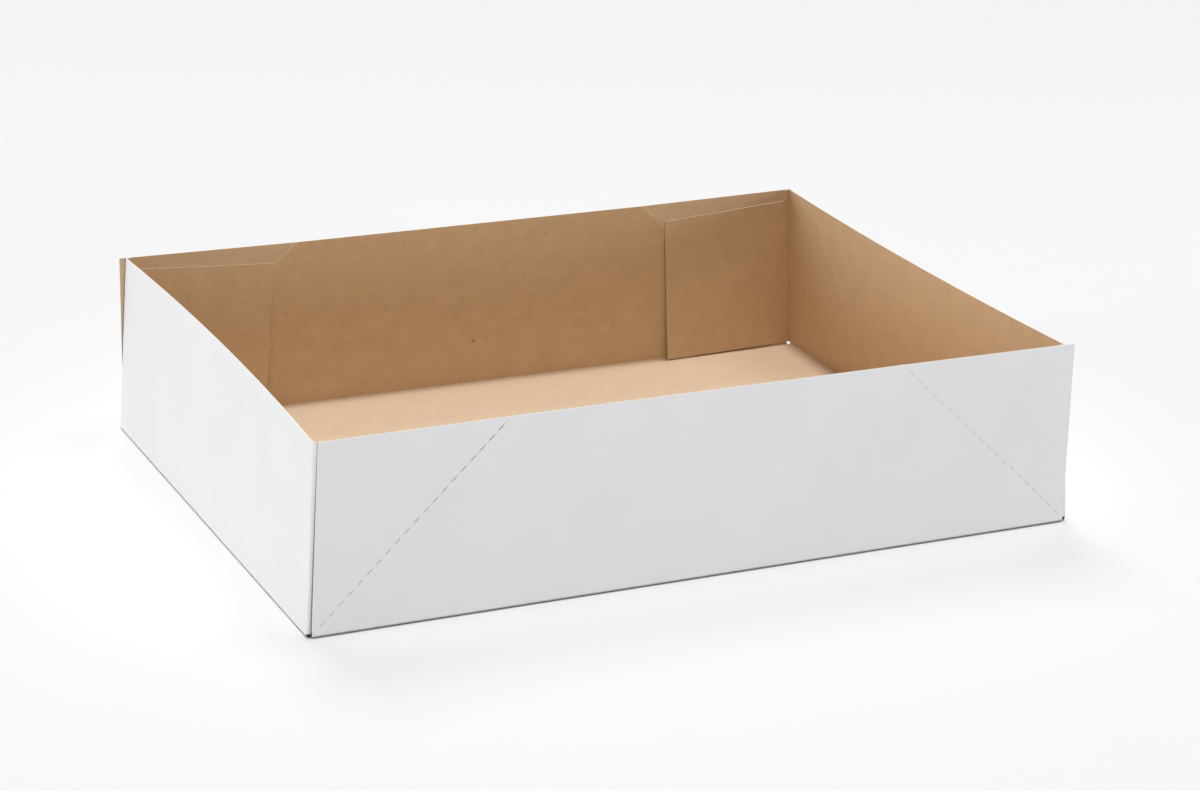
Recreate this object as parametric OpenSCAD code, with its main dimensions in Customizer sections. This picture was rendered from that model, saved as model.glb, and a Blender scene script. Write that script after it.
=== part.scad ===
// Bottom tray of a two-piece cake box: one die-cut sheet of board, creased, folded and glued at
// its four corners. The long walls carry cut-scored diagonals that let the tray pop up from flat.
// +X runs along the length, +Y to the back, +Z up. The origin is on the floor, under the middle.

/* [Tray] */
// Outside length along the bottom
tray_l = 406; // [300:1:560]
// Outside width along the bottom
tray_w = 305; // [220:1:420]
// Height from the floor to the rim
tray_h = 95; // [60:1:120]
// Thickness of the board
board_t = 0.6; // [0.4:0.05:1]
// Inside radius of a creased fold
crease_r = 1.2; // [0.6:0.1:2.5]
// Gap left open between the folds at each bottom corner
corner_gap = 1.2; // [0.6:0.1:3]

/* [End walls] */
// How far the ends of an end wall's rim lean in
end_lean = 6; // [1:0.5:9]
// How much farther the middle of that rim bows in
end_bow = 4; // [1:0.5:9]

/* [Long walls] */
// How far the back wall's middle panel leans in at the rim
back_lean = 3.4; // [0.8:0.1:7]
// How far the front wall's middle panel leans in at the rim
front_lean = 1.2; // [0.8:0.1:7]
// How far a long wall stops short of each corner, at its foot
wall_trim = 1.2; // [0.4:0.1:2.5]
// How far a long wall stops short of each corner, at its rim
rim_trim = 3.5; // [0.4:0.1:8]

/* [Glue flaps] */
// Drop of the flap's top edge below the rim, beside its fold
flap_drop = 6.5; // [3:0.5:12]
// Drop of the flap's top edge below the rim, at its free end
flap_end_drop = 10.5; // [6:0.5:20]
// Width of the sloping step beside the fold
flap_step = 6; // [3:0.5:12]
// Clearance between flap and floor, beside the fold
flap_lift = 2.2; // [1.6:0.1:5]
// Clearance between flap and floor, at the free end
flap_end_lift = 0.5; // [0.3:0.1:3]
// How deep the glued lap is pressed into the wall
lap_press = 0.1; // [0.05:0.01:0.2]

/* [Cut scores] */
// Distance along the rim from a long wall's end to the top of its diagonal
score_run = 98; // [60:1:130]
// Length of each cut along a diagonal
score_cut = 3.2; // [1.5:0.1:6]
// Length of the uncut tie between two cuts
score_tie = 3.2; // [1.5:0.1:6]
// Width of a cut
score_w = 0.3; // [0.15:0.05:0.6]
// Depth of a cut from the outside face
score_d = 0.3; // [0.1:0.05:0.35]

/* [Hidden] */
$fn = 48;

// Outside radius of a fold, and what a wall rises above its fold
fold_r = crease_r + board_t;
wall_rise = tray_h - fold_r;

// Half sizes of the flat floor panel
floor_x = tray_l / 2 - fold_r;
floor_y = tray_w / 2 - fold_r;

// Where a long wall ends at its foot and at its rim, and where a diagonal reaches the rim
foot_x = tray_l / 2 - wall_trim;
rim_x = tray_l / 2 - rim_trim;
diagonal_x = foot_x - score_run;

// Strips that a bowed end wall is made of, and steps round a flap's fold
bow_strips = 12;
fold_steps = 6;

// Share of a wall's rise at height z: 0 at its fold and 1 at the rim
function rise(z) = (z - fold_r) / wall_rise;

// Slant in plan of the corner triangles of a long wall with this lean
function slant(lean) = lean / (score_run - end_lean);

// Where an end wall stops and its flap's fold starts, beside a long wall with this lean
function fold_y(lean) =
    tray_w / 2 - board_t + lap_press - fold_r - slant(lean) * (foot_x - floor_x);

// Inward lean of an end wall's rim at y, between its fold lines y0 and y1
function rim_lean(y, y0, y1) = end_lean + end_bow * (1 - pow((2 * y - y0 - y1) / (y1 - y0), 2));

// A strip of board from a row of stations, each a ring of four points:
// outside low, outside high, inside high, inside low
module board_strip(stations) {
    last = len(stations) - 1;
    sides = [for (i = [0 : last - 1], k = [0 : 3])
        let (a = 4 * i + k, b = 4 * i + (k + 1) % 4)
        each [[a, b, b + 4], [a, b + 4, a + 4]]];
    ends = [[3, 2, 1, 0], [for (k = [0 : 3]) 4 * last + k]];
    polyhedron([for (s = stations) each s], concat(sides, ends));
}

// A quarter-round fold of the floor's edge, along X over a length, curling up on the +Y side
module floor_fold(length) {
    rotate([90, 0, 90])
        linear_extrude(length, center = true)
            difference() {
                intersection() {
                    circle(fold_r);
                    translate([0, -fold_r])
                        square(fold_r);
                }
                circle(crease_r);
            }
}

module floor_panel() {
    translate([-floor_x, -floor_y, 0])
        cube([2 * floor_x, 2 * floor_y, board_t]);
    for (side = [0, 180])
        rotate(side)
            translate([0, floor_y, fold_r])
                floor_fold(2 * (floor_x - corner_gap));
    for (side = [90, 270])
        rotate(side)
            translate([0, floor_x, fold_r])
                floor_fold(2 * (floor_y - corner_gap));
}

// Cuts along the diagonal at the +X end of a long wall
module diagonal_cuts(lean) {
    pitch = score_cut + score_tie;
    run = norm([score_run, wall_rise]);
    count = floor((run - score_tie) / pitch);
    start = (run - (count - 1) * pitch) / 2;
    translate([foot_x, tray_w / 2, fold_r])
        rotate([atan(lean / wall_rise), 0, 0])
            rotate([0, atan2(wall_rise, score_run), 0])
                for (i = [0 : count - 1])
                    translate([-start - i * pitch, 0, 0])
                        cube([score_cut, 2 * score_d, score_w], center = true);
}

// A long wall on the +Y side: the middle panel leans in from the floor's fold, and the triangle
// at each end turns about its diagonal to reach the corner
module long_wall(lean) {
    y = tray_w / 2;
    end_y = y - slant(lean) * (foot_x - end_lean - rim_x);
    face = [
        [-foot_x, y, fold_r], [foot_x, y, fold_r],
        [rim_x, end_y, tray_h], [diagonal_x, y - lean, tray_h],
        [-diagonal_x, y - lean, tray_h], [-rim_x, end_y, tray_h]];
    back = [for (p = face) p - [0, board_t, 0]];
    panels = [[0, 1, 3, 4], [1, 2, 3], [0, 4, 5]];
    back_panels = [for (p = panels) [for (i = [len(p) - 1 : -1 : 0]) p[i] + len(face)]];
    edges = [for (i = [0 : len(face) - 1])
        let (j = (i + 1) % len(face))
        [i, i + len(face), j + len(face), j]];
    difference() {
        polyhedron(concat(face, back), concat(panels, back_panels, edges));
        diagonal_cuts(lean);
        mirror([1, 0, 0])
            diagonal_cuts(lean);
    }
}

// Stations of the +X end's glue flap, from its fold to its free end. It is folded in along the +Y
// long wall, lies on that wall's corner triangle, and stands off the middle panel below the diagonal
function flap_stations(lean) =
    let (
        y = fold_y(lean),
        low = board_t + flap_lift,
        end_low = board_t + flap_end_lift,
        end_z = tray_h - flap_end_drop,
        reach = (score_run - end_lean) * rise(end_z) - (foot_x - floor_x),
        step_low = low + (end_low - low) * flap_step / reach,
        fold = [for (i = [0 : fold_steps])
            let (a = 90 * i / fold_steps, out = [cos(a), sin(a)], centre = [floor_x, y])
            [centre + fold_r * out, centre + crease_r * out,
             fold_r + (low - fold_r) * i / fold_steps, tray_h]],
        panel = [for (s = [[flap_step, step_low, tray_h - flap_drop], [reach, end_low, end_z]])
            let (p = [floor_x - s[0], y + fold_r - slant(lean) * s[0]])
            [p, p - [0, board_t], s[1], s[2]]])
    [for (s = concat(fold, panel)) [
        for (corner = [[0, 2], [0, 3], [1, 3], [1, 2]])
        let (p = s[corner[0]], z = s[corner[1]])
        [p[0] - end_lean * rise(z), p[1], z]]];

// Stations of the +X end wall between its two folds
function wall_stations(y0, y1) = [for (i = [1 : bow_strips - 1])
    let (
        y = y0 + (y1 - y0) * i / bow_strips,
        foot = tray_l / 2,
        rim = foot - rim_lean(y, y0, y1))
    [[foot, y, fold_r], [rim, y, tray_h], [rim - board_t, y, tray_h], [foot - board_t, y, fold_r]]];

// The +X end wall with its two glue flaps, one strip of board
module end_wall() {
    front = flap_stations(front_lean);
    front_turned = [for (i = [len(front) - 1 : -1 : 0]) [for (p = front[i]) [p[0], -p[1], p[2]]]];
    board_strip(concat(
        front_turned,
        wall_stations(-fold_y(front_lean), fold_y(back_lean)),
        flap_stations(back_lean)));
}

module tray() {
    color("whitesmoke")
        union() {
            floor_panel();
            long_wall(back_lean);
            mirror([0, 1, 0])
                long_wall(front_lean);
            for (end = [0, 1])
                mirror([end, 0, 0])
                    end_wall();
        }
}

tray();
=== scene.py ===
import math

import bmesh
import bpy
from mathutils import Matrix, Vector


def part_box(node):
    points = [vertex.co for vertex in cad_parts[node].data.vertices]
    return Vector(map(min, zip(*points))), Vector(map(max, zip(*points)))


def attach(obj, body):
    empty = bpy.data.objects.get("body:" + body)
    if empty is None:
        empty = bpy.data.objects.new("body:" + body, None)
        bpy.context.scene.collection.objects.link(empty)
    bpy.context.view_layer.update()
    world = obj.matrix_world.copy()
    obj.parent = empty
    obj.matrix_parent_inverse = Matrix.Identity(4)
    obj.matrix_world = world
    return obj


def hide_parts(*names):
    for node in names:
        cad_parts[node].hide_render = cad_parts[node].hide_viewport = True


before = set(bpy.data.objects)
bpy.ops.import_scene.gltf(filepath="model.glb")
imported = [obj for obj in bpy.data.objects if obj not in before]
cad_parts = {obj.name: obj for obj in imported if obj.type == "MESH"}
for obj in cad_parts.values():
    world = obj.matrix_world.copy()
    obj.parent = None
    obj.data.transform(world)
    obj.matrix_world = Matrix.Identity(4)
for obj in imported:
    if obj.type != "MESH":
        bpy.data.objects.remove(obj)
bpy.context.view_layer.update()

scene = bpy.context.scene
scene.view_settings.view_transform = "Standard"

# The die-cut sheet of board, in metres
sheet = {
    "board": 0.0006,         # thickness
    "creaseRadius": 0.0012,  # inside of a fold along the floor
    "cornerRadius": 0.0003,  # inside of a fold at an upright corner
    "foldSteps": 6,          # facets round a fold
    "bowSteps": 12,          # facets along half an end wall
    "cornerGap": 0.0002,     # open between the folds at a bottom corner
    "grooveWidth": 0.0006,   # line that creasing presses into the floor beside a fold
    "grooveDepth": 0.00025,
    "footTrim": 0.0022,      # a long wall stops this short of the corner at its foot
    "flapReach": 0.081,      # from a glue flap's fold to its free end
    "flapShoulder": 0.002,   # top edge of a glue flap that is level with the rim, beside its fold
    "flapStep": 0.004,       # end of the steep step after it
    "flapDrop": 0.0065,      # flap's top edge below the rim, at the step
    "flapEndDrop": 0.0105,   # and at its free end
    "flapLift": 0.0022,      # flap's bottom edge above the table, at the fold
    "flapEndLift": 0.0011,   # and at its free end
    "glueGap": 0.00005,      # between a flap's fold and the long wall
    "sharpAngle": 0.5,       # radians between two faces from which their edge is sharp
}

# Material slots of the tray
slots = {"whiteCoat": 0, "kraftSide": 1, "cutEdge": 2, "pulpInShade": 3, "flapEdgeInShade": 4}

# The cut-scored diagonals of the long walls
score = {
    "run": 0.098,            # along the rim, from a long wall's end to its diagonal
    "cut": 0.0032,           # length of a cut, and of the tie after it
    "tie": 0.0032,
    "footWidth": 0.0002,     # the cuts gape more towards the rim
    "rimWidth": 0.0004,
    "depth": 0.0003,
    "lip": 0.00001,          # the sides of a cut slope by this
    # Depth of the whole line at the rim, outside; it fades to the foot
    "press": {"frontLeft": 0.00014, "frontRight": 0.00004, "backLeft": 0.00008, "backRight": 0.00008},
    "ridge": 0.0009,         # half width of the ridge that the score raises inside
    "ridgeHeight": 0.00025,
}

# How the folded tray has settled, in metres
settle = {
    "backLean": 0.0034,      # a long wall's rim, inward
    "frontLean": 0.0012,
    "endBow": 0.004,         # an end wall's rim, inward at its middle, beyond its corners
    # An end wall's rim, inward at each corner
    "endLean": {"frontLeft": 0.0038, "frontRight": 0.0084, "backLeft": 0.0058, "backRight": 0.0042},
    # A long wall stops this short of each corner at its rim
    "rimTrim": {"frontLeft": 0.0061, "frontRight": 0.0035, "backLeft": 0.0026, "backRight": 0.0035},
    # More room between a flap's fold and the long wall, at the foot
    "footGap": {"front": 0.0008, "back": 0},
    # A long wall's foot, away from each corner
    "footPull": {"frontLeft": 0, "frontRight": 0.0011, "backLeft": 0, "backRight": 0},
    "pullReach": 0.02,       # length of wall over which the pull fades
}

# Driving sizes, from the tray's place in the frame
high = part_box("tray")[1]
halfLength = high[0]
height = high[2]
board = sheet["board"]
foldRadius = sheet["creaseRadius"] + board
cornerRadius = sheet["cornerRadius"] + board


def slant(lean, endLean):
    # Slope in plan of a corner triangle
    return lean / (score["run"] - endLean)


def cornerFlare(corner):
    # How far a corner triangle stands out where it runs past its fold at the rim
    endLean = settle["endLean"][corner]
    past = endLean + sheet["footTrim"] - settle["rimTrim"][corner]
    return slant(settle["backLean"], endLean) * past


halfWidth = high[1] - max(cornerFlare("backLeft"), cornerFlare("backRight"))
rise = height - foldRadius
floorX = halfLength - foldRadius
floorY = halfWidth - foldRadius
footX = halfLength - sheet["footTrim"]

# Lines on the flat sheet: u runs along the tray's length, v along its width
tiny = 1e-6
foldTurn = math.pi / 2 / sheet["foldSteps"]
foldChord = 2 * foldRadius * math.sin(foldTurn / 2)
foldLength = sheet["foldSteps"] * foldChord
cornerChord = 2 * cornerRadius * math.sin(foldTurn / 2)
cornerLength = sheet["foldSteps"] * cornerChord
gapV = floorY - sheet["cornerGap"]
endU = floorX + foldLength
endRimU = endU + rise
longV = floorY + foldLength
longRimV = longV + rise
creaseV = halfWidth - board - sheet["glueGap"] - cornerRadius
flapV = creaseV + cornerLength
stepV = flapV + sheet["flapStep"]
flapEndV = flapV + sheet["flapReach"]
seamU = (footX + endU) / 2

diagonalFoot = Vector((footX, longV))
diagonalTop = Vector((footX - score["run"], longRimV))
diagonalRun = (diagonalTop - diagonalFoot).length
diagonalAlong = (diagonalTop - diagonalFoot).normalized()
diagonalAcross = Vector((diagonalAlong.y, -diagonalAlong.x))


def onDiagonal(u, v):
    # Distance along the nearest diagonal from its foot, and to its side; the corner's side is positive
    place = Vector((abs(u), abs(v))) - diagonalFoot
    return place.dot(diagonalAlong), place.dot(diagonalAcross)


def cutWidth(along):
    # Width of a cut, by its distance along the diagonal
    return score["footWidth"] + (score["rimWidth"] - score["footWidth"]) * along / diagonalRun


def scoreCuts():
    # Middles of the cuts along a diagonal
    pitch = score["cut"] + score["tie"]
    count = math.floor((diagonalRun - score["tie"]) / pitch)
    first = (diagonalRun - (count - 1) * pitch) / 2
    return [first + i * pitch for i in range(count)]


# Parts of a quarter of the sheet, told by a face's middle
regions = {
    "floor": lambda u, v: u < floorX and v < floorY,
    "longFold": lambda u, v: u < footX and floorY < v < longV,
    "triangle": lambda u, v: u < footX and v > longV and onDiagonal(u, v)[1] > 0,
    "longWall": lambda u, v: u < footX and v > longV and onDiagonal(u, v)[1] < 0,
    "endFold": lambda u, v: floorX < u < endU and v < gapV,
    "endWall": lambda u, v: u > endU and v < creaseV,
    "flapFold": lambda u, v: u > endU and creaseV < v < flapV,
    "flapStep": lambda u, v: u > endU and flapV < v < stepV,
    "flap": lambda u, v: u > endU and stepV < v < flapEndV,
}
panelNames = list(regions)


def facesIn(bm, where):
    return [f for f in bm.faces if where(*f.calc_center_median().xy)]


def cutLine(bm, start, end, where, drop=False):
    # Cuts the faces that where() picks along a line; drop takes away what lies to its right
    geom = dict.fromkeys(part for f in facesIn(bm, where) for part in (f, *f.edges, *f.verts))
    along = Vector(end) - Vector(start)
    right = Vector((along.y, -along.x, 0)).normalized()
    origin = Vector((*start, 0))
    bmesh.ops.bisect_plane(bm, geom=list(geom), dist=tiny, plane_co=origin, plane_no=right)
    if drop:
        offcut = [f for f in facesIn(bm, where) if (f.calc_center_median() - origin).dot(right) > 0]
        bmesh.ops.delete(bm, geom=offcut, context="FACES")


def cutAcross(bm, u, where):
    cutLine(bm, (u, 0), (u, 1), where)


def cutAlong(bm, v, where):
    cutLine(bm, (0, v), (1, v), where)


def cutFolds(bm):
    # Crease lines, the facets of each fold, the open corners, and the grooves beside the creases
    cutAcross(bm, seamU, lambda u, v: True)
    for step in range(sheet["foldSteps"] + 1):
        cutAlong(bm, floorY + step * foldChord, lambda u, v: u < seamU)
        cutAlong(bm, creaseV + step * cornerChord, lambda u, v: u > seamU)
        cutAcross(bm, floorX + step * foldChord, lambda u, v: v < creaseV)
    cutAcross(bm, endU, lambda u, v: u > seamU)
    cutAcross(bm, footX, lambda u, v: u < seamU and floorY < v < longV)
    cutAlong(bm, gapV, lambda u, v: floorX < u < endU and v < creaseV)
    for share in (1, 0.5):
        cutAcross(bm, floorX - share * sheet["grooveWidth"], regions["floor"])
        cutAlong(bm, floorY - share * sheet["grooveWidth"], regions["floor"])


def onWall(u, v):
    return u < footX and v > longV


def isScored(u, v):
    along, aside = onDiagonal(u, v)
    return onWall(u, v) and abs(aside) < cutWidth(along) / 2


def isCut(u, v):
    along = onDiagonal(u, v)[0]
    return isScored(u, v) and any(abs(along - middle) < score["cut"] / 2 for middle in scoreCuts())


def cutDiagonal(bm):
    # The diagonal, the edges of its score and ridge, and the ends of each cut
    cutLine(bm, diagonalFoot, diagonalTop, onWall)
    for side in (-diagonalAcross, diagonalAcross):
        cutLine(
            bm, diagonalFoot + side * cutWidth(0) / 2,
            diagonalTop + side * cutWidth(diagonalRun) / 2, onWall)
        cutLine(bm, diagonalFoot + side * score["ridge"], diagonalTop + side * score["ridge"], onWall)
    for middle in scoreCuts():
        for end in (middle - score["cut"] / 2, middle + score["cut"] / 2):
            place = diagonalFoot + end * diagonalAlong
            cutLine(bm, place, place + diagonalAcross, isScored)


def cutWalls(bm):
    # End of the long wall, strips of the bowed end wall, and the outline of the glue flap
    cutLine(bm, (footX, longV), (footX, longRimV), lambda u, v: u < seamU and v > longV, drop=True)
    for step in range(1, sheet["bowSteps"]):
        cutAlong(bm, creaseV * step / sheet["bowSteps"], regions["endWall"])
    cutAlong(bm, stepV, lambda u, v: u > endU)
    cutAlong(bm, flapEndV, lambda u, v: u > endU)
    stepTop = (endRimU - sheet["flapDrop"], stepV)
    shoulder = (endRimU, flapV + sheet["flapShoulder"])
    cutLine(bm, shoulder, stepTop, regions["flapStep"], drop=True)
    cutLine(bm, stepTop, (endRimU - sheet["flapEndDrop"], flapEndV), regions["flap"], drop=True)


def flatSheet():
    # The whole blank, white side down: a quarter is cut out, then mirrored twice
    bm = bmesh.new()
    panel = bm.faces.layers.int.new("panel")
    cut = bm.faces.layers.int.new("cut")
    flat = bm.verts.layers.float_vector.new("flat")
    depth = bm.verts.layers.float.new("depth")
    bmesh.ops.create_grid(bm, x_segments=1, y_segments=1, size=0.5)
    bmesh.ops.translate(bm, verts=bm.verts, vec=(0.5, 0.5, 0))
    bmesh.ops.scale(bm, verts=bm.verts, vec=(endRimU, longRimV, 1))
    cutFolds(bm)
    cutWalls(bm)
    cutDiagonal(bm)
    waste = []
    for face in bm.faces:
        middle = face.calc_center_median().xy
        names = [name for name in panelNames if regions[name](*middle)]
        if names:
            face[panel] = panelNames.index(names[0])
            face[cut] = isCut(*middle)
        else:
            waste.append(face)
    bmesh.ops.delete(bm, geom=waste, context="FACES")
    for axis in ("X", "Y"):
        geom = bm.verts[:] + bm.edges[:] + bm.faces[:]
        bmesh.ops.mirror(bm, geom=geom, matrix=Matrix.Identity(4), merge_dist=tiny, axis=axis)
    bmesh.ops.remove_doubles(bm, verts=bm.verts, dist=tiny)
    bmesh.ops.recalc_face_normals(bm, faces=bm.faces)
    bm.normal_update()
    bmesh.ops.reverse_faces(bm, faces=[f for f in bm.faces if f.normal.z > 0])
    for vert in bm.verts:
        vert[flat] = vert.co
    return bm, panel, cut, flat, depth


def roundFold(bm, flat, axis, side, line, chord, holds):
    # Turns up what lies past each facet line of a fold, from the outermost line in
    across = 1 if axis == "X" else 0
    turnSide = side if axis == "X" else -side
    for step in range(sheet["foldSteps"], -1, -1):
        place = line + step * chord
        half = step in (0, sheet["foldSteps"])
        turn = foldTurn / 2 if half else foldTurn
        centre = (0, side * place, 0) if axis == "X" else (side * place, 0, 0)
        verts = [v for v in bm.verts if side * v[flat][across] > place + tiny and holds(v[flat])]
        bmesh.ops.rotate(
            bm, verts=verts, cent=centre, matrix=Matrix.Rotation(turnSide * turn, 3, axis))


def onEnd(place):
    # End walls and flaps of the flat sheet
    u, v = abs(place.x), abs(place.y)
    return u > floorX + tiny and (v < floorY - tiny or u > endU - tiny)


def onLong(place):
    return abs(place.y) > floorY + tiny and abs(place.x) < footX + tiny


def foldSheet(bm, flat):
    for end in (-1, 1):
        for side in (-1, 1):
            roundFold(bm, flat, "X", side, creaseV, cornerChord, lambda p: onEnd(p) and end * p.x > 0)
        roundFold(bm, flat, "Y", end, floorX, foldChord, onEnd)
    for side in (-1, 1):
        roundFold(bm, flat, "X", side, floorY, foldChord, onLong)


def cornerName(u, v):
    return ("back" if v > 0 else "front") + ("Right" if u > 0 else "Left")


def settleLong(vert, place):
    # Long wall: the middle leans, and each corner triangle turns about its diagonal
    corner = cornerName(place.x, place.y)
    endLean = settle["endLean"][corner]
    lean = settle["backLean"] if place.y > 0 else settle["frontLean"]
    share = max(0, (vert.co.z - foldRadius) / rise)
    near = max(0, 1 - (footX - abs(place.x)) / settle["pullReach"])
    vert.co.x -= math.copysign(settle["footPull"][corner] * near * (1 - share), place.x)
    if abs(place.x) > footX - tiny:
        trim = (settle["rimTrim"][corner] - sheet["footTrim"]) * share
        vert.co.x -= math.copysign(trim, place.x)
    toCrease = footX - endLean * share - abs(vert.co.x)
    shift = min(lean * share, slant(lean, endLean) * toCrease)
    vert.co.y -= shift if place.y > 0 else -shift


def flapFoot(v):
    # Height of a flap's bottom edge
    if v < flapV:
        return foldRadius + (sheet["flapLift"] - foldRadius) * (v - creaseV) / cornerLength
    drop = sheet["flapLift"] - sheet["flapEndLift"]
    return sheet["flapLift"] - drop * (v - flapV) / sheet["flapReach"]


def settleEnd(vert, place):
    # End wall: its rim leans and bows in, and the flaps follow their corner triangles
    if abs(place.x) < endU + tiny and abs(place.y) > creaseV + tiny:
        vert.co.z = flapFoot(abs(place.y))
    share = max(0, (vert.co.z - foldRadius) / rise)
    front = settle["endLean"][cornerName(place.x, -1)]
    back = settle["endLean"][cornerName(place.x, 1)]
    along = max(-1, min(1, place.y / creaseV))
    lean = (front + back) / 2 + (back - front) / 2 * along + settle["endBow"] * (1 - along ** 2)
    vert.co.x -= math.copysign(lean * share, place.x)
    turned = min(1, (abs(place.x) - floorX) / foldLength)
    gap = settle["footGap"]["back" if place.y > 0 else "front"] * turned * (1 - share)
    vert.co.y -= gap * along
    reach = abs(place.y) - flapV
    if reach > 0:
        wallLean = settle["backLean"] if place.y > 0 else settle["frontLean"]
        vert.co.y -= math.copysign(slant(wallLean, lean) * reach, place.y)


def settleSheet(bm, flat):
    for vert in bm.verts:
        if onLong(vert[flat]):
            settleLong(vert, vert[flat])
        elif onEnd(vert[flat]):
            settleEnd(vert, vert[flat])


def edgePanel(face, panel):
    # Panel that a face at the sheet's edge borders
    beside = [f[panel] for edge in face.edges for f in edge.link_faces if f is not face]
    return max(beside, key=beside.count)


def raiseRidge(vert, place):
    # Inside, a score stands up as a ridge where no flap lies over it
    aside = onDiagonal(place.x, place.y)[1]
    clear = abs(place.x) < floorX - sheet["flapReach"] - max(settle["endLean"].values())
    if clear and onLong(place) and abs(aside) < score["ridge"]:
        lift = score["ridgeHeight"] * (1 - abs(aside) / score["ridge"])
        vert.co.y -= math.copysign(lift, place.y)


def pressGroove(vert, place):
    # Inside, creasing leaves a fine groove along the floor's edges
    away = min(floorX - abs(place.x), floorY - abs(place.y))
    if tiny < away < sheet["grooveWidth"] - tiny:
        vert.co.z -= sheet["grooveDepth"]


def thicken(bm, panel, flat, depth):
    # Gives the sheet its thickness, inwards
    flaps = [panelNames.index(name) for name in ("flapStep", "flap")]
    outer = set(bm.faces)
    outerVerts = set(bm.verts)
    bm.normal_update()
    bmesh.ops.solidify(bm, geom=bm.faces[:], thickness=board)
    for face in bm.faces:
        if face in outer:
            face.material_index = slots["whiteCoat"]
        elif outerVerts.isdisjoint(face.verts):
            face.material_index = slots["kraftSide"]
        else:
            face.material_index = slots["flapEdgeInShade" if edgePanel(face, panel) in flaps else "cutEdge"]
    for vert in bm.verts:
        vert.co.z = min(vert.co.z, height)
        if vert not in outerVerts:
            vert[depth] = 1
            raiseRidge(vert, vert[flat])
            pressGroove(vert, vert[flat])


def sinkCuts(bm, cut, flat, depth):
    # Presses the line of the score into the outside face, more towards the rim, and its cuts deeper
    for vert in bm.verts:
        place = vert[flat]
        along, aside = onDiagonal(place.x, place.y)
        if abs(aside) < tiny and vert[depth] == 0 and onLong(place):
            press = score["press"][cornerName(place.x, place.y)] * along / diagonalRun
            vert.co.y -= math.copysign(press, place.y)
    cuts = [f for f in bm.faces if f[cut] and f.material_index == slots["whiteCoat"]]
    for face in cuts:
        face.material_index = slots["pulpInShade"]
    bmesh.ops.inset_region(
        bm, faces=cuts, thickness=score["lip"], depth=-score["depth"], use_even_offset=True)


def finishEdges(bm, panel):
    # Smooth within a panel, sharp at creases and cut edges
    bm.normal_update()
    for face in bm.faces:
        face.smooth = True
    for edge in bm.edges:
        names = {face[panel] for face in edge.link_faces}
        finishes = {face.material_index for face in edge.link_faces}
        flush = edge.calc_face_angle(math.pi) < sheet["sharpAngle"]
        edge.smooth = flush and len(names) == 1 and len(finishes) == 1


def trayMesh():
    bm, panel, cut, flat, depth = flatSheet()
    print("blank cut:", len(bm.faces), "faces")
    foldSheet(bm, flat)
    settleSheet(bm, flat)
    thicken(bm, panel, flat, depth)
    sinkCuts(bm, cut, flat, depth)
    finishEdges(bm, panel)
    uv = bm.loops.layers.uv.new("sheetMap")
    for face in bm.faces:
        for loop in face.loops:
            loop[uv].uv = loop.vert[flat].xy
    bmesh.ops.triangulate(bm, faces=[f for f in bm.faces if len(f.verts) > 4])
    openEdges = [e for e in bm.edges if len(e.link_faces) != 2]
    print("tray folded:", len(bm.faces), "faces,", len(openEdges), "open edges")
    mesh = bpy.data.meshes.new("trayMesh")
    bm.to_mesh(mesh)
    bm.free()
    return mesh


tray = bpy.data.objects.new("cakeTray", trayMesh())
scene.collection.objects.link(tray)
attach(tray, "root")
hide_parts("tray")


def addNode(tree, kind, inputs, **settings):
    # Adds a node; each input is a value, or another node's socket to link
    node = tree.nodes.new(kind)
    for name, value in settings.items():
        setattr(node, name, value)
    for key, value in inputs.items():
        if isinstance(value, bpy.types.NodeSocket):
            tree.links.new(value, node.inputs[key])
        else:
            node.inputs[key].default_value = value
    return node


def newMaterial(name):
    mat = bpy.data.materials.new(name)
    mat.use_nodes = True
    return mat, mat.node_tree, mat.node_tree.nodes["Principled BSDF"]


def sheetPlace(tree):
    return addNode(tree, "ShaderNodeUVMap", {}, uv_map="sheetMap").outputs["UV"]


def stretched(tree, place, scale):
    # The place on the sheet, in pattern cells a metre along u and v
    return addNode(tree, "ShaderNodeMapping", {"Vector": place, "Scale": (*scale, 1)}).outputs[0]


def noise(tree, place, detail=3, rough=0.5, cells=1):
    settings = {"Vector": place, "Scale": cells, "Detail": detail, "Roughness": rough}
    return addNode(tree, "ShaderNodeTexNoise", settings).outputs[0]


def between(tree, value, start, end, first=0, last=1):
    # Value from start to end, as first to last
    limits = {"Value": value, "From Min": start, "From Max": end, "To Min": first, "To Max": last}
    return addNode(tree, "ShaderNodeMapRange", limits).outputs[0]


def blend(tree, share, first, second):
    # Sockets 6, 7 and output 2 are the colours of the Mix node
    return addNode(tree, "ShaderNodeMix", {0: share, 6: first, 7: second}, data_type="RGBA").outputs[2]


noiseSpan = (0.3, 0.7)  # most of a noise's values lie between these
speckCore = 0.4         # share of a speck's radius that has its full tone


def speckAt(tree, place, centre, radius):
    # 1 inside a small soft spot on the sheet
    away = addNode(tree, "ShaderNodeVectorMath", {0: place, 1: (*centre, 0)}, operation="DISTANCE")
    return between(tree, away.outputs["Value"], radius, radius * speckCore)


def quarterOf(tree, place):
    # The place on the sheet, mirrored into one quarter
    return addNode(tree, "ShaderNodeVectorMath", {0: place}, operation="ABSOLUTE").outputs[0]


def times(tree, first, second):
    return addNode(tree, "ShaderNodeMath", {0: first, 1: second}, operation="MULTIPLY").outputs[0]


def inSpan(tree, place, uSpan, vSpan):
    # 1 up to the first u and v of the spans, fading to 0 at the second
    split = addNode(tree, "ShaderNodeSeparateXYZ", {0: quarterOf(tree, place)}).outputs
    return times(
        tree, between(tree, split["X"], *uSpan, 1, 0), between(tree, split["Y"], *vSpan, 1, 0))


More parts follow.
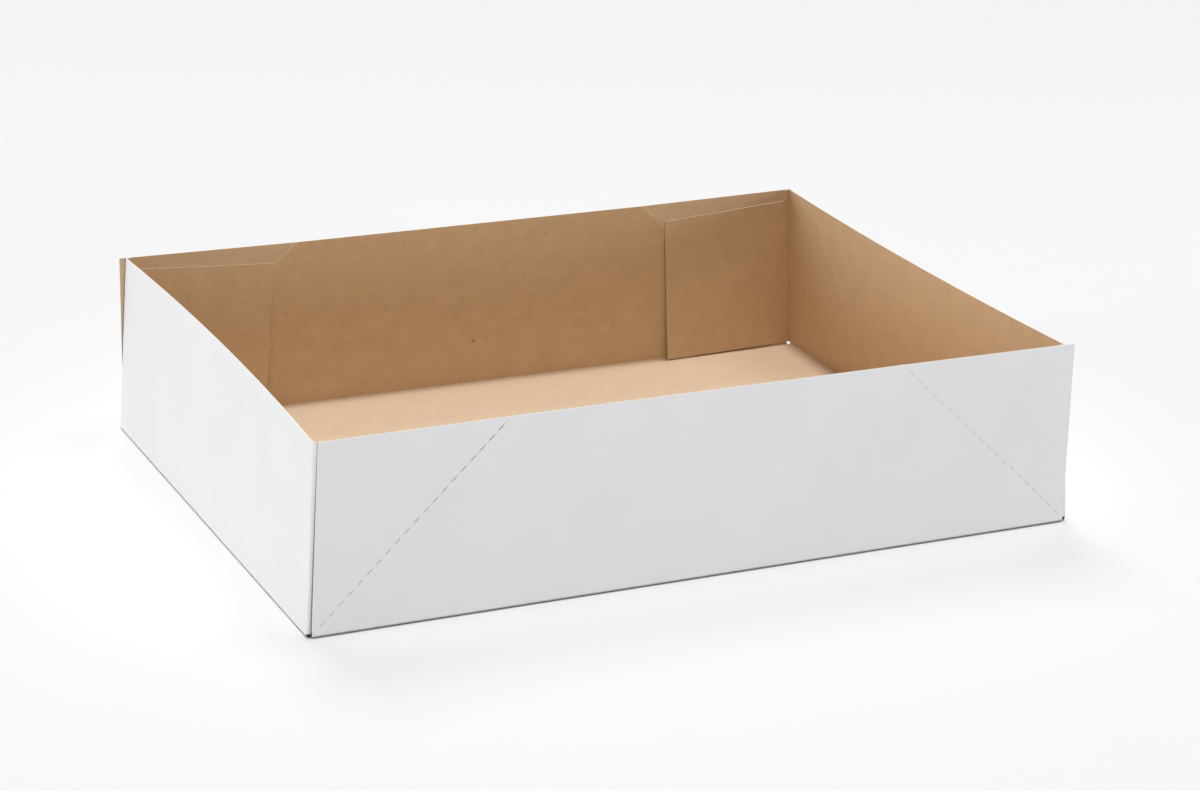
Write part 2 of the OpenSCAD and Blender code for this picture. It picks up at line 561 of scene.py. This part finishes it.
def nearScore(tree, place, width):
    # 1 on a scored diagonal of a long wall, 0 a width away from it and on other panels
    away = addNode(
        tree, "ShaderNodeVectorMath",
        {0: quarterOf(tree, place), 1: (*diagonalFoot, 0)}, operation="SUBTRACT")
    aside = addNode(
        tree, "ShaderNodeVectorMath",
        {0: away.outputs[0], 1: (*diagonalAcross, 0)}, operation="DOT_PRODUCT")
    aside = addNode(tree, "ShaderNodeMath", {0: aside.outputs["Value"]}, operation="ABSOLUTE").outputs[0]
    above = addNode(tree, "ShaderNodeSeparateXYZ", {0: away.outputs[0]}).outputs["Y"]
    raised = addNode(tree, "ShaderNodeMath", {0: above, 1: 0}, operation="GREATER_THAN").outputs[0]
    return times(tree, between(tree, aside, width, 0), raised)


# Painted shade where the board almost touches itself, and inside the open corners in front
crevice = {
    "reach": 0.0016,
    "samples": 8,
    "tone": (0.06, 0.05, 0.045, 1),
    "coat": (0.38, 0.79),    # open share of the view at full shade, and at none
    "kraft": (0.3, 0.62),
    "corner": (0.0024, 0.004),  # distance from a corner at full shade, and at none
}


# Painted shade: darkens a colour where an ambient occlusion node finds the board close by
def shadeCrevices(tree, base, limits):
    clear = addNode(
        tree, "ShaderNodeAmbientOcclusion",
        {"Distance": crevice["reach"]}, samples=crevice["samples"], only_local=True)
    return blend(tree, between(tree, clear.outputs["AO"], *limits), crevice["tone"], base)


# Painted shade inside the open bottom corners at the front
def shadeCorners(tree, base):
    place = addNode(tree, "ShaderNodeTexCoord", {}).outputs["Object"]
    for side in (-1, 1):
        corner = (side * floorX, -floorY, board)
        away = addNode(tree, "ShaderNodeVectorMath", {0: place, 1: corner}, operation="DISTANCE")
        clear = between(tree, away.outputs["Value"], *crevice["corner"])
        base = blend(tree, clear, crevice["tone"], base)
    return base


def bumpOn(tree, shader, relief, distance):
    bump = addNode(tree, "ShaderNodeBump", {"Height": relief, "Distance": distance})
    tree.links.new(bump.outputs[0], shader.inputs["Normal"])


# Clay coat of the outside: white, faintly uneven, a little sheen
coat = {
    "dull": (0.858, 0.859, 0.872, 1),
    "clean": (0.882, 0.883, 0.895, 1),
    "mark": (0.62, 0.6, 0.57, 1),
    "markPlace": (0.1732, -0.2256),
    "markSize": 0.0011,
    "markShare": 0.3,
    "under": (0.3, 0.3, 0.31, 1),  # shade under the folds of the long walls
    "underShare": 0.4,             # part of a fold in full shade
    "cloudCells": (22, 22),        # a metre, along u and v
    "grainCells": (900, 1400),
    "grainDepth": 0.00002,
    "rough": (0.42, 0.5),
}


def whiteCoat():
    mat, tree, shader = newMaterial("whiteCoat")
    place = sheetPlace(tree)
    cloud = noise(tree, stretched(tree, place, coat["cloudCells"]), detail=4)
    grain = noise(tree, stretched(tree, place, coat["grainCells"]), detail=2)
    base = blend(tree, between(tree, cloud, *noiseSpan), coat["dull"], coat["clean"])
    mark = speckAt(tree, place, coat["markPlace"], coat["markSize"])
    base = blend(tree, times(tree, mark, coat["markShare"]), base, coat["mark"])
    base = shadeCrevices(tree, base, crevice["coat"])
    # Painted shade under the folds of the long walls
    underV = floorY + foldLength * coat["underShare"]
    under = inSpan(tree, place, (footX, footX + tiny), (underV, longV))
    tree.links.new(blend(tree, under, base, coat["under"]), shader.inputs["Base Color"])
    tree.links.new(between(tree, cloud, *noiseSpan, *coat["rough"]), shader.inputs["Roughness"])
    bumpOn(tree, shader, grain, coat["grainDepth"])
    return mat


# Uncoated kraft of the inside: brown pulp with fibres, clouds and flecks
kraft = {
    "deep": (0.666, 0.476, 0.295, 1),
    "pale": (0.754, 0.551, 0.351, 1),
    # Painted light: the floor panel is paler than the walls, for the brighter light on it
    "floor": (0.80, 0.66, 0.505, 1),
    "floorLightShare": 0.42,
    "cloudCells": (75, 90),  # a metre, along u and v
    "cloudSpan": (0.25, 0.75),
    "fibreCells": (350, 2600),
    "fibreSpan": (0.35, 0.75),
    "fibreShare": 0.25,
    "fibreDepth": 0.00004,
    "fleck": (0.3, 0.17, 0.08, 1),
    "fleckCells": (280, 400),
    "fleckSpan": (0.64, 0.8),
    "fleckShare": 0.3,
    "worn": (0.80, 0.60, 0.40, 1),  # along the scored diagonals
    "wornWidth": 0.0009,
    "wornShare": 0.7,
    "speckPlace": (0.0013, 0.1776),
    "speckSize": 0.0016,
    "speckShare": 0.6,
    "rough": (0.74, 0.86),
}


def kraftSide():
    mat, tree, shader = newMaterial("kraftSide")
    place = sheetPlace(tree)
    cloud = noise(tree, stretched(tree, place, kraft["cloudCells"]), detail=6, rough=0.65)
    fibre = noise(tree, stretched(tree, place, kraft["fibreCells"]), detail=3, rough=0.6)
    flecks = noise(tree, stretched(tree, place, kraft["fleckCells"]), detail=1)
    fibreTone = between(tree, fibre, *kraft["fibreSpan"], 0, kraft["fibreShare"])
    fleckTone = between(tree, flecks, *kraft["fleckSpan"], 0, kraft["fleckShare"])
    base = blend(tree, between(tree, cloud, *kraft["cloudSpan"]), kraft["deep"], kraft["pale"])
    base = blend(tree, fibreTone, base, kraft["deep"])
    base = blend(tree, fleckTone, base, kraft["fleck"])
    # Painted light: paler on the floor panel
    onFloor = inSpan(tree, place, (floorX, endU), (floorY, longV))
    base = blend(tree, times(tree, onFloor, kraft["floorLightShare"]), base, kraft["floor"])
    worn = nearScore(tree, place, kraft["wornWidth"])
    base = blend(tree, times(tree, worn, kraft["wornShare"]), base, kraft["worn"])
    speck = speckAt(tree, place, kraft["speckPlace"], kraft["speckSize"])
    base = blend(tree, times(tree, speck, kraft["speckShare"]), base, kraft["fleck"])
    base = shadeCrevices(tree, base, crevice["kraft"])
    tree.links.new(shadeCorners(tree, base), shader.inputs["Base Color"])
    tree.links.new(between(tree, fibre, *noiseSpan, *kraft["rough"]), shader.inputs["Roughness"])
    bumpOn(tree, shader, fibre, kraft["fibreDepth"])
    return mat


# Pale core of the board at a cut edge, under the white coat
core = {
    "dark": (0.79, 0.73, 0.65, 1),
    "light": (0.91, 0.87, 0.80, 1),
    "coatShare": 0.2,        # part of the thickness that is coat
    "coatFade": 0.1,
    "grainCells": 900,
    "grainDepth": 0.00005,
    "rough": 0.9,
}


def cutEdge():
    mat, tree, shader = newMaterial("cutEdge")
    place = addNode(tree, "ShaderNodeTexCoord", {}).outputs["Object"]
    grain = noise(tree, place, cells=core["grainCells"])
    depth = addNode(tree, "ShaderNodeAttribute", {}, attribute_name="depth").outputs["Fac"]
    base = blend(tree, between(tree, grain, *noiseSpan), core["dark"], core["light"])
    coated = between(tree, depth, core["coatShare"] + core["coatFade"], core["coatShare"])
    base = blend(tree, coated, base, coat["clean"])
    tree.links.new(shadeCorners(tree, base), shader.inputs["Base Color"])
    shader.inputs["Roughness"].default_value = core["rough"]
    bumpOn(tree, shader, grain, core["grainDepth"])
    return mat


# Pulp inside the cut scores, painted dark grey for the shade in the narrow cuts
pulp = {
    "dark": (0.25, 0.25, 0.255, 1),
    "light": (0.40, 0.40, 0.405, 1),
    "closed": (0.3, 0.8),    # share of white at the right, where the cuts stay shut: foot and rim
    "tearCells": (900, 900),
    "tearDepth": 0.00005,
    "rough": 0.95,
}


def pulpInShade():
    mat, tree, shader = newMaterial("pulpInShade")
    place = sheetPlace(tree)
    tear = noise(tree, stretched(tree, place, pulp["tearCells"]))
    base = blend(tree, between(tree, tear, *noiseSpan), pulp["dark"], pulp["light"])
    split = addNode(tree, "ShaderNodeSeparateXYZ", {0: place}).outputs
    up = addNode(tree, "ShaderNodeMath", {0: split["Y"]}, operation="ABSOLUTE").outputs[0]
    right = addNode(tree, "ShaderNodeMath", {0: split["X"], 1: 0}, operation="GREATER_THAN").outputs[0]
    closed = between(tree, up, longV, longRimV, *pulp["closed"])
    base = blend(tree, times(tree, closed, right), base, coat["dull"])
    tree.links.new(base, shader.inputs["Base Color"])
    shader.inputs["Roughness"].default_value = pulp["rough"]
    bumpOn(tree, shader, tear, pulp["tearDepth"])
    return mat


# Cut edges of the glue flaps: the pale core, painted tan for the shade they lie in
flapEdgeShade = {
    "dark": (0.74, 0.58, 0.42, 1),
    "light": (0.86, 0.71, 0.54, 1),
    "grainCells": 400,
    "grainDepth": 0.00005,
    "rough": 0.9,
}


def flapEdgeInShade():
    mat, tree, shader = newMaterial("flapEdgeInShade")
    place = addNode(tree, "ShaderNodeTexCoord", {}).outputs["Object"]
    grain = noise(tree, place, cells=flapEdgeShade["grainCells"])
    base = blend(tree, between(tree, grain, *noiseSpan), flapEdgeShade["dark"], flapEdgeShade["light"])
    tree.links.new(base, shader.inputs["Base Color"])
    shader.inputs["Roughness"].default_value = flapEdgeShade["rough"]
    bumpOn(tree, shader, grain, flapEdgeShade["grainDepth"])
    return mat


# In the order of their slots
for mat in (whiteCoat(), kraftSide(), cutEdge(), pulpInShade(), flapEdgeInShade()):
    tray.data.materials.append(mat)
print("board finished:", len(tray.data.materials), "materials")


def plainRays(tree):
    # 1 for a ray that sees the plain background: from the camera, or after a reflection or clear glass
    ray = addNode(tree, "ShaderNodeLightPath", {}).outputs
    bent = addNode(
        tree, "ShaderNodeMath",
        {0: ray["Is Glossy Ray"], 1: ray["Is Transmission Ray"]}, operation="MAXIMUM").outputs[0]
    return addNode(
        tree, "ShaderNodeMath", {0: ray["Is Camera Ray"], 1: bent}, operation="MAXIMUM").outputs[0]


# Paper floor, with painted shade far behind the tray, where less light reaches
backdrop = {
    "size": 8,
    "near": (0.818, 0.818, 0.818, 1),
    "far": (0.777, 0.777, 0.78, 1),
    "bounce": (0.95, 0.95, 0.95, 1),  # as it lights the walls
    "away": (0.417, 0.909, 0),        # the way that it is toned down, from start to end
    "farStart": 0.5,
    "farEnd": 1.2,
    "rough": 0.9,
}


def paperFloor():
    mat, tree, shader = newMaterial("paperFloor")
    place = addNode(tree, "ShaderNodeTexCoord", {}).outputs["Object"]
    # Painted shade: darker far behind the tray
    depth = addNode(tree, "ShaderNodeVectorMath", {0: place, 1: backdrop["away"]}, operation="DOT_PRODUCT")
    far = between(tree, depth.outputs["Value"], backdrop["farStart"], backdrop["farEnd"])
    seen = blend(tree, far, backdrop["near"], backdrop["far"])
    tree.links.new(blend(tree, plainRays(tree), backdrop["bounce"], seen), shader.inputs["Base Color"])
    shader.inputs["Roughness"].default_value = backdrop["rough"]
    return mat


def addFloor():
    bm = bmesh.new()
    bmesh.ops.create_grid(bm, x_segments=1, y_segments=1, size=backdrop["size"])
    mesh = bpy.data.meshes.new("studioFloor")
    bm.to_mesh(mesh)
    bm.free()
    floor = bpy.data.objects.new("studioFloor", mesh)
    scene.collection.objects.link(floor)
    floor.data.materials.append(paperFloor())


# Soft studio light: the room, lights above, behind and to the right, and low fills from the left and front
studio = {
    "room": 0.17,
    "overhead": {"from": (-0.03, -0.035, 1), "spread": 9, "strength": 1.74},
    "right": {"from": (0.42, 0, 1), "spread": 26, "strength": 0.52},
    "behind": {"from": (0.1, 0.75, 1), "spread": 30, "strength": 0.82},
    "left": {"from": (-1, 0.1, 0.06), "spread": 14, "strength": 1.1},
    "front": {"from": (0.4, -1, 0.05), "spread": 12, "strength": 0.55},
}


def addWorld():
    world = bpy.data.worlds.new("studio")
    scene.world = world
    world.use_nodes = True
    tree = world.node_tree
    room = tree.nodes["Background"]
    room.inputs["Color"].default_value = (1, 1, 1, 1)
    room.inputs["Strength"].default_value = studio["room"]
    seen = addNode(tree, "ShaderNodeBackground", {"Color": (1, 1, 1, 1), "Strength": 1})
    mix = addNode(
        tree, "ShaderNodeMixShader", {0: plainRays(tree), 1: room.outputs[0], 2: seen.outputs[0]})
    tree.links.new(mix.outputs[0], tree.nodes["World Output"].inputs["Surface"])


def addLamp(name):
    data = bpy.data.lights.new(name, "SUN")
    data.angle = math.radians(studio[name]["spread"])
    data.energy = studio[name]["strength"]
    lamp = bpy.data.objects.new(name, data)
    lamp.location = studio[name]["from"]
    lamp.rotation_euler = (-lamp.location).to_track_quat("-Z", "Y").to_euler()
    scene.collection.objects.link(lamp)


# Camera at the photograph's angle
shot = {
    "place": (-0.6374, -1.4131, 0.5839),
    "yaw": 24.65,
    "pitch": 19.23,
    "roll": 1.23,
    "lens": 95.1,
    "sensor": 36,
}


def addCamera():
    data = bpy.data.cameras.new("camera")
    data.sensor_fit = "HORIZONTAL"
    data.sensor_width = shot["sensor"]
    data.lens = shot["lens"]
    cam = bpy.data.objects.new("camera", data)
    turn = Matrix.Rotation(-math.radians(shot["yaw"]), 4, "Z")
    tilt = Matrix.Rotation(math.radians(90 - shot["pitch"]), 4, "X")
    roll = Matrix.Rotation(math.radians(shot["roll"]), 4, "Z")
    cam.matrix_world = Matrix.Translation(shot["place"]) @ turn @ tilt @ roll
    scene.collection.objects.link(cam)
    scene.camera = cam


addFloor()
addWorld()
for lampName in ("overhead", "right", "behind", "left", "front"):
    addLamp(lampName)
addCamera()
print("studio set")
